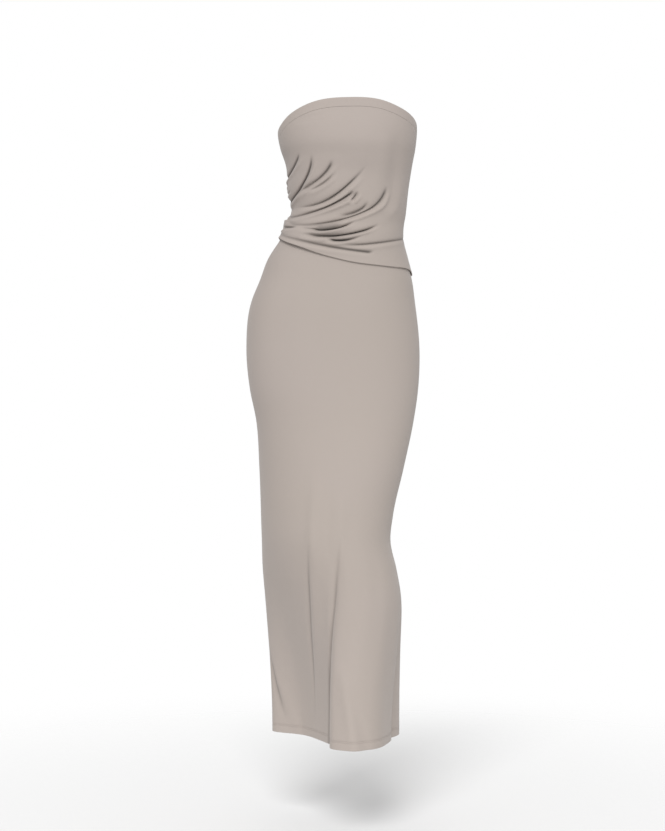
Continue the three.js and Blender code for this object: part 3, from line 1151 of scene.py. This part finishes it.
@dataclass
class ClothPiece:
    """What every cut piece of cloth has: its name, node, cut and how it is held."""

    name: str
    node: str
    flat: tuple[float, float]
    area: float
    held: Held
    slot: Slot
    rests_on: str
    thickness: float = 0.65

    def dress(self, grid: ClothGrid, material: bpy.types.Material) -> bpy.types.Object:
        """Makes the piece from its grid, attaches it to the body and hides its CAD part.

        Args:
            grid: The outer surface, with its edges turned.
            material: The cloth.

        Returns:
            The piece.
        """
        piece = shown(self.name, grid.mesh(self.name), material)
        wall = piece.modifiers.new("cloth_thickness", "SOLIDIFY")
        wall.thickness = self.thickness * METRES
        wall.offset = -1
        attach(piece, BODY)
        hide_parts(self.node)
        return piece


@dataclass
class Panel:
    """A panel of a layer: the stretches of its columns and rows, and its cut."""

    half: Half
    columns: tuple[tuple[float, int], ...]
    rows: tuple[tuple[float, int], ...]
    cut: ClothPiece


BODICE_PANELS = (
    Panel(
        Half.FRONT, ((0.66, 196), (1, 50)), ((0.2, 22), (1, 148)),
        ClothPiece(
            "cloth_bodice_front", "bodice_front", (0.4, 0.31), 0.112, Held.GATHERED, Slot.JERSEY,
            "cloth_skirt_front",
        ),
    ),
    Panel(
        Half.BACK, ((0.45, 70), (1, 130)), ((0.2, 16), (1, 110)),
        ClothPiece(
            "cloth_bodice_back", "bodice_back", (0.38, 0.27), 0.086, Held.GATHERED, Slot.JERSEY,
            "cloth_skirt_back",
        ),
    ),
)
SKIRT_ROWS = ((-300, 40), (KNEE_Z, 100), (HEM_Z + 20, 90), (HEM_Z, 26))
SKIRT_PANELS = (
    Panel(
        Half.FRONT, ((0.33, 38), (0.64, 82), (1, 44)), SKIRT_ROWS,
        ClothPiece(
            "cloth_skirt_front", "skirt_front", (0.47, 1.05), 0.45, Held.HUNG, Slot.JERSEY,
            "cloth_bodice_front",
        ),
    ),
    Panel(
        Half.BACK, ((1, 120),), SKIRT_ROWS,
        ClothPiece(
            "cloth_skirt_back", "skirt_back", (0.46, 1.05), 0.44, Held.HUNG, Slot.JERSEY,
            "cloth_bodice_back",
        ),
    ),
)
BAND_CUT = ClothPiece(
    "cloth_neck_band", "neck_band", (0.76, 0.036), 0.0273, Held.STRETCHED, Slot.BAND,
    "cloth_bodice_front",
)


class Layer:
    """A layer of the dress, cut as a front and a back."""

    panels: tuple[Panel, ...]

    def grid(self, panel: Panel) -> ClothGrid:
        """The outer surface of a panel, with its lower edge turned under."""
        raise NotImplementedError

    def build(self, material: bpy.types.Material) -> list[bpy.types.Object]:
        """Makes the layer's panels of a cloth, front first."""
        return [panel.cut.dress(self.grid(panel), material) for panel in self.panels]


@dataclass
class Bodice(Layer):
    """The draped bodice layer: front and back, gathered into the left side seam.

    Its folds grow over calm_depth below the band. A crease cuts into the swelling over
    upper_reach and lower_reach of its width. It has a narrow slot at its bottom, a
    ridge below it and a shade painted into the colour that is wider above it. Its upper
    lip hangs over it by a share of its width, overhang, where the swelling is full.
    """

    form: BodyForm
    neckline: RingCurve
    edge: RingCurve
    panels: tuple[Panel, ...] = BODICE_PANELS
    lap: Lap = Lap()
    neck_lap: Lap = Lap(slope=0.3)
    hem_turn: float = 9.0
    hem_gap: float = 1.6
    seam_dip: float = 0.3
    seam_width: float = 1.8
    seam_calm: float = 30.0
    calm_depth: float = 45.0
    least: float = 0.5
    full: float = 7.0
    overhang: float = 0.5
    upper_reach: float = 0.6
    lower_reach: float = 0.72
    lip: float = 0.5
    slot: float = 1.9
    slot_width: float = 1.3
    slot_start: tuple[float, float] = (-4, 16)
    # The shade painted into the colour along each crease: its width, how much wider it is above, and
    # how it grows with depth.
    shade_width: float = 1.35
    shade_above: float = 2.0
    shade_power: float = 1.5
    sharpest: float = 8.0
    sharp_power: int = 3
    ridge_at: float = 1.6
    ridge_width: float = 0.75
    ripple_start: float = 8.0

    def relief(self, turn: Array, z: Array) -> tuple[Array, Array, Array]:
        """How the cloth stands off the form, and the shade painted into its creases.

        Args:
            turn: Turns of the places.
            z: Their heights.

        Returns:
            The height off the form, the step along the cloth by which a fold's lip
            hangs over its crease, and the light painted into the colour, from 0 at the darkest painted
            crease shade to 1.
        """
        along = self.form.along(turn, z)
        from_right = self.form.along_from_right(turn, z)
        swelling = self.least + sum(swell.at(along, z) for swell in SWELLINGS)
        kept = np.ones_like(along)
        painted_light = np.ones_like(along)
        lift = np.ones_like(along)
        slot = np.zeros_like(along)
        step = np.zeros(along.shape + (2,))
        for crease in CREASES:
            sign = 1 if crease.side is Side.LEFT else -1
            gap, depth = crease.measure(along if sign == 1 else from_right, z)
            distance = np.linalg.norm(gap, axis=-1)
            above = gap[..., 1] > 0
            reach = crease.width * np.where(above, self.upper_reach, self.lower_reach)
            near = distance / reach
            kept = kept * (1 - depth * bell(near, 1))
            sharp = min(1, (self.sharpest / crease.width) ** self.sharp_power)
            spread = self.shade_width * crease.gape * np.where(above, self.shade_above, 1)
            # Shade painted into the colour along the crease, darkest at its bottom and wider above it.
            shade = crease.dark * depth**self.shade_power * bell(distance, spread)
            painted_light = painted_light * (1 - sharp * shade)
            bottom = bell(distance, self.slot_width * crease.gape)
            slot = np.maximum(slot, sharp * depth * bottom)
            ridge = np.where(above, 0, bell(near - self.ridge_at, self.ridge_width))
            lift = lift * (1 + self.lip * depth * ridge)
            roll = np.where(above, near**2 * np.exp(1 - near**2), 0)
            roll = roll * depth * self.overhang * crease.width * np.clip(swelling / self.full, 0, 1)
            roll = roll * ease(0, self.seam_calm, np.abs(along))
            toward = gap / np.maximum(distance, TINY)[..., None] * np.array([sign, 1])
            step = step - toward * roll[..., None]
        below_band = self.neckline(turn) - BAND_DEPTH - z
        calm = ease(0, self.calm_depth, below_band)
        seam = np.minimum(np.abs(along), np.abs(from_right))
        dip = self.seam_dip * bell(seam, self.seam_width)
        dip = np.maximum(dip, self.slot * slot * calm * ease(*self.slot_start, np.abs(along)))
        ripples = sum(ripple.at(along, z) for ripple in RIPPLES)
        ripples = ripples * ease(0, self.ripple_start, below_band)
        height = LAYER_LIFT + swelling * kept * lift * calm + ripples - dip
        height = height - self.neck_lap.depth(-below_band)
        return height, step * calm[..., None], mix(1, painted_light, calm)

    def grid(self, panel: Panel) -> ClothGrid:
        """The cloth over a panel, from under the neck band to the edge turned under.

        Args:
            panel: The front or the back, whose rows are shares of the way down.

        Returns:
            The outer surface.
        """
        turns = panel_turns(panel.half, panel.columns, self.lap)
        shares = spaced(0, panel.rows)[1:, None]
        top = self.neckline(turns)[None, :] - BAND_DEPTH
        under = top - np.array(self.neck_lap.lower_steps())[:, None]
        z = np.concatenate([under, mix(top, self.edge(turns)[None, :], shares)])
        turn = np.broadcast_to(turns[None, :], z.shape)
        height, step, painted_light = self.relief(turn, z)
        height = height - past_seam(panel.half, turn, self.lap)
        length = self.form.half_length(panel.half is Half.BACK, z)
        rolled = turn + step[..., 0] / length
        points = raised(self.form.point, rolled, z + step[..., 1], height)
        uv = np.stack([turn * length, z], axis=-1) * METRES
        return ClothGrid(points, uv, painted_light).turned_under(self.hem_turn, self.hem_gap)


@dataclass
class NeckBand:
    """The snug band at the neckline: one strip all round, folded double.

    Its two layers' outer faces are a gap apart, and its two edges are softened.
    """

    form: BodyForm
    neckline: RingCurve
    columns: int = 300
    rows: int = 14
    gap: float = 2.3
    foot_soft: float = 0.04
    top_soft: float = 0.3
    soft_width: float = 1.4
    girth: float = 774.0

    def build(self, material: bpy.types.Material) -> bpy.types.Object:
        """Makes the band with its fold at the top and its seam at the foot.

        Args:
            material: The doubled cloth.

        Returns:
            The piece.
        """
        turns = np.arange(self.columns) * 2 / self.columns
        shares = np.linspace(0, 1, self.rows)
        z = self.neckline(turns)[None, :] - BAND_DEPTH * shares[:, None]
        turn = np.broadcast_to(turns[None, :], z.shape)
        from_foot = BAND_DEPTH * (1 - shares)[:, None]
        from_top = BAND_DEPTH * shares[:, None]
        round_off = self.foot_soft * bell(from_foot, self.soft_width)
        round_off = round_off + self.top_soft * bell(from_top, self.soft_width)
        height = LAYER_LIFT - round_off + np.zeros_like(z)
        points = raised(self.form.point, turn, z, height)
        around = np.append(turns, 2.0) * self.girth / 2
        uv = np.stack(np.broadcast_arrays(around[None, :], -BAND_DEPTH * shares[:, None]), axis=-1)
        outer = ClothGrid(points, uv * METRES, np.ones_like(z), closed=True)
        return BAND_CUT.dress(outer.folded_over(BAND_DEPTH, self.gap), material)


@dataclass
class Skirt(Layer):
    """The long narrow skirt, from the hidden waist seam to the turned hem.

    A fold grows over soft_head of its length and fades over soft_foot, and some have
    shade painted into the colour along them. The twin rows of stitches lie in shallow
    grooves, stitch_rows above the hem, with shade painted along them.
    """

    form: BodyForm
    hem_x: RingCurve
    hem_y: RingCurve
    panels: tuple[Panel, ...] = SKIRT_PANELS
    lap: Lap = Lap()
    hem_turn: float = 15.0
    hem_gap: float = 1.7
    stitch_rows: tuple[float, float] = (13.2, 16.2)
    stitch_dip: float = 0.4
    stitch_width: float = 1.1
    # Shade painted into the colour along the stitched grooves.
    stitch_shade: float = 0.045
    stitch_rise: float = 0.12
    stitch_rest: float = 0.005
    stitch_samples: int = 160
    soft_head: float = 0.34
    soft_foot: float = 0.4
    seam_dip: float = 0.35
    seam_width: float = 2.0

    def surface(self, turn: Array, z: Array) -> Array:
        """The skirt without its folds: the form above, passing into the hem's ring.

        Args:
            turn: Turns.
            z: Their heights.

        Returns:
            A point for each place.
        """
        points = self.form.point(turn, z)
        share = ease(0, 1, (SWING_Z - points[..., 2]) / (SWING_Z - HEM_Z))
        points[..., 0] = mix(points[..., 0], self.hem_x(turn), share)
        points[..., 1] = mix(points[..., 1], self.hem_y(turn), share)
        return points

    def relief(self, turn: Array, z: Array) -> tuple[Array, Array]:
        """The height of the skirt's folds, seams and stitched grooves, and the light painted into its
        colour.

        Args:
            turn: Turns of the places.
            z: Their heights.

        Returns:
            The height off the form, and the painted light, from 0 at the darkest painted crease shade
            to 1.
        """
        along = self.form.along(turn, z)
        height = np.zeros_like(along)
        painted_light = np.ones_like(along)
        for fold in SKIRT_FOLDS:
            share = (fold.z - z) / (fold.z - fold.foot_z)
            across = along - self.form.along(fold.middle(share), z)
            fading = ease(0, self.soft_foot, 1 - share) if fold.foot_z > HEM_Z else 1.0
            growing = bell(across, fold.width) * ease(0, self.soft_head, share) * fading
            height = height + fold.height * growing
            # Shade painted into the colour along the fold's crease.
            painted_light = painted_light * (1 - fold.shade * growing)
        seam = np.minimum(np.abs(along), np.abs(self.form.along_from_right(turn, z)))
        height = height - self.seam_dip * bell(seam, self.seam_width)
        for row in self.stitch_rows:
            groove = bell(z - HEM_Z - row, self.stitch_width)
            height = height - self.stitch_dip * groove
            # Shade painted into the colour along the groove.
            painted_light = painted_light * (1 - self.stitch_shade * groove)
        return height, painted_light

    def grid(self, panel: Panel) -> ClothGrid:
        """The cloth over a panel, whose rows are heights, with its hem turned up.

        Args:
            panel: The front or the back.

        Returns:
            The outer surface.
        """
        turns = panel_turns(panel.half, panel.columns, self.lap)
        turn, z = np.meshgrid(turns, spaced(WAIST_SEAM_Z, panel.rows))
        height, painted_light = self.relief(turn, z)
        height = height - past_seam(panel.half, turn, self.lap)
        points = raised(self.surface, turn, z, height)
        length = self.form.half_length(panel.half is Half.BACK, z)
        uv = np.stack([turn * length, z], axis=-1) * METRES
        return ClothGrid(points, uv, painted_light).turned_under(self.hem_turn, self.hem_gap)

    def stitch_lines(self) -> list[Array]:
        """The lines that the hem's twin rows of stitches follow.

        Returns:
            The points of each line, in millimetres.
        """
        lines = []
        shares = np.linspace(self.stitch_rest, 1 - self.stitch_rest, self.stitch_samples)
        for half in Half:
            start, end = half.value
            turns = start + (end - start) * shares
            for row in self.stitch_rows:
                z = np.full_like(turns, HEM_Z + row)
                height = self.relief(turns, z)[0] + self.stitch_rise
                lines.append(raised(self.surface, turns, z, height))
        return lines


@dataclass
class Stitching:
    """Rows of stitches that follow lines on the cloth, made by Geometry Nodes.

    Wander is the share by which a stitch's size varies.
    """

    pitch: float = 3.1
    length: float = 2.3
    radius: float = 0.3
    wander: float = 0.08
    sides: int = 6
    rings: int = 5
    seed: int = 7

    def tree(self) -> tuple[bpy.types.NodeTree, dict[str, str]]:
        """Builds the tree, and gives the identifier of each named input.

        Returns:
            The tree, and the identifiers by the inputs' names.
        """
        tree = bpy.data.node_groups.new("sewn_rows", "GeometryNodeTree")
        kinds = {
            "Lines": "Geometry",
            "Pitch": "Float",
            "Stitch Length": "Float",
            "Thread Radius": "Float",
            "Wander": "Float",
            "Seed": "Int",
            "Thread": "Material",
        }
        names = {}
        for name, kind in kinds.items():
            socket = tree.interface.new_socket(
                name, in_out="INPUT", socket_type=f"NodeSocket{kind}"
            )
            names[name] = socket.identifier
        tree.interface.new_socket("Stitches", in_out="OUTPUT", socket_type="NodeSocketGeometry")
        graph = Graph(tree)
        sockets = graph.node("NodeGroupInput").outputs
        given = {name: Signal(graph, socket) for name, socket in sockets.items()}
        radius = given["Thread Radius"]
        half = given["Stitch Length"] * 0.5
        size = graph.signal("ShaderNodeCombineXYZ", inputs={"X": radius, "Y": radius, "Z": half})
        sphere = {"Segments": self.sides, "Rings": self.rings, "Radius": 1.0}
        ball = graph.signal("GeometryNodeMeshUVSphere", inputs=sphere, output="Mesh")
        smooth = graph.signal("GeometryNodeSetShadeSmooth", inputs={0: ball})
        stitch = graph.signal("GeometryNodeTransform", inputs={0: smooth, "Scale": size})
        curve = graph.signal("GeometryNodeMeshToCurve", inputs={0: given["Lines"]})
        places = graph.signal(
            "GeometryNodeResampleCurve", {"mode": "LENGTH"}, {0: curve, "Length": given["Pitch"]}
        )
        tangent = graph.signal("GeometryNodeInputTangent")
        turned = graph.signal("FunctionNodeAlignRotationToVector", {"axis": "Z"}, {"Vector": tangent})
        range_of = {2: 1 - given["Wander"], 3: 1 + given["Wander"], "Seed": given["Seed"]}
        scale = graph.signal("FunctionNodeRandomValue", {"data_type": "FLOAT"}, range_of, 1)
        sewn = graph.signal(
            "GeometryNodeInstanceOnPoints",
            inputs={"Points": places, "Instance": stitch, "Rotation": turned, "Scale": scale},
        )
        real = graph.signal("GeometryNodeRealizeInstances", inputs={0: sewn})
        threaded = graph.signal(
            "GeometryNodeSetMaterial", inputs={0: real, "Material": given["Thread"]}
        )
        graph.node("NodeGroupOutput", inputs={0: threaded})
        return tree, names

    def sew(self, name: str, lines: Sequence[Array], thread: bpy.types.Material) -> bpy.types.Object:
        """Sews stitches along lines.

        Args:
            name: The piece's name.
            lines: The lines, in millimetres.
            thread: The stitches' material.

        Returns:
            One plain mesh of all the stitches.
        """
        points = []
        edges = []
        for line in lines:
            first = len(points)
            points.extend((line * METRES).tolist())
            edges.extend((first + k, first + k + 1) for k in range(len(line) - 1))
        mesh = bpy.data.meshes.new(name)
        mesh.from_pydata(points, edges, [])
        piece = shown(name, mesh, thread)
        tree, names = self.tree()
        sewing = piece.modifiers.new("sewing", "NODES")
        sewing.node_group = tree
        sizes = {
            "Pitch": self.pitch * METRES,
            "Stitch Length": self.length * METRES,
            "Thread Radius": self.radius * METRES,
            "Wander": self.wander,
            "Seed": self.seed,
            "Thread": thread,
        }
        for key, value in sizes.items():
            sewing[names[key]] = value
        evaluated = piece.evaluated_get(bpy.context.evaluated_depsgraph_get())
        plain = bpy.data.meshes.new_from_object(evaluated)
        piece.modifiers.clear()
        piece.data = plain
        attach(piece, BODY)
        return piece


@dataclass
class Studio:
    """A pale floor, soft light all round, a high soft key and the camera, in metres."""

    floor_z: float = -1.37
    floor_size: float = 3.0
    floor_sides: int = 96
    background: float = 1.0
    ambient: float = 0.58
    key_strength: float = 1.84
    key_height: float = 40.0
    key_turn: float = -8.0
    key_softness: float = 26.0
    fill_power: float = 18.0
    fill_size: float = 2.2
    fill_x: float = 1.3
    fill_z: float = -0.9
    distance: float = 3.3
    camera_x: float = -0.0298
    camera_z: float = -0.5626
    frame_height: float = 1.62045
    sensor: float = 36.0

    def camera(self) -> None:
        """The camera, level and at the height of the hips."""
        data = bpy.data.cameras.new("camera")
        data.sensor_width = self.sensor
        data.lens = self.sensor * self.distance / self.frame_height
        camera = placed("camera", data)
        camera.location = (self.camera_x, -self.distance, self.camera_z)
        camera.rotation_euler = (math.radians(90), 0, 0)
        bpy.context.scene.camera = camera

    def key(self) -> None:
        """A high, soft, even light from the front and a little to the left."""
        data = bpy.data.lights.new("key", "SUN")
        data.energy = self.key_strength
        data.angle = math.radians(self.key_softness)
        tilt = math.radians(90 - self.key_height)
        placed("key", data).rotation_euler = (tilt, 0, math.radians(self.key_turn))

    def fill(self) -> None:
        """A wide light low in front and to the right, for the skirt."""
        data = bpy.data.lights.new("fill", "AREA")
        data.size = self.fill_size
        data.energy = self.fill_power
        lamp = placed("fill", data)
        lamp.location = (self.fill_x, -self.distance, self.fill_z)
        lamp.rotation_euler = (math.radians(90), 0, math.atan2(self.fill_x, self.distance))

    def floor(self, finish: PaleFloor) -> None:
        """The floor, a round plate under the dress.

        Args:
            finish: What it is painted with.
        """
        angles = np.linspace(0, 2 * np.pi, self.floor_sides, endpoint=False)
        ring = [(self.floor_size * math.cos(a), self.floor_size * math.sin(a)) for a in angles]
        mesh = bpy.data.meshes.new("floor")
        mesh.from_pydata([(x, y, self.floor_z) for x, y in ring], [], [tuple(range(len(ring)))])
        shown("floor", mesh, finish.material())

    def world(self) -> None:
        """Even white light from all round."""
        graph = Graph(bpy.data.worlds.new("studio"))
        seen = graph.signal("ShaderNodeLightPath", output="Is Camera Ray")
        strength = mix_value(self.ambient, self.background, seen)
        light = graph.node("ShaderNodeBackground", inputs={"Color": WHITE, "Strength": strength})
        bpy.context.scene.world = graph.finish(light, "ShaderNodeOutputWorld")

    def build(self) -> None:
        """Sets up the whole studio."""
        bpy.context.scene.view_settings.view_transform = "Standard"
        self.camera()
        self.world()
        self.key()
        self.fill()
        self.floor(PaleFloor())


def main() -> None:
    """Builds the studio and the dress."""
    logging.basicConfig(level=logging.INFO, format="%(name)s: %(message)s")
    Studio().build()
    form = BodyForm(SECTIONS)
    neckline = edge_curve(NECKLINE)
    jersey = Jersey().material()
    band = Jersey(name="doubled_jersey").material()
    skirt = Skirt(
        form,
        RingCurve([p.turn for p in HEM_RING], [p.x for p in HEM_RING]),
        RingCurve([p.turn for p in HEM_RING], [p.y for p in HEM_RING]),
    )
    bodice = Bodice(form, neckline, edge_curve(DRAPE_EDGE))
    pieces = [
        *skirt.build(jersey),
        *bodice.build(jersey),
        NeckBand(form, neckline).build(band),
        Stitching().sew("hem_stitching", skirt.stitch_lines(), Thread().material()),
    ]
    for piece in pieces:
        log.info("%s: %d faces before its thickness", piece.name, len(piece.data.polygons))


if __name__ == "__main__":
    main()
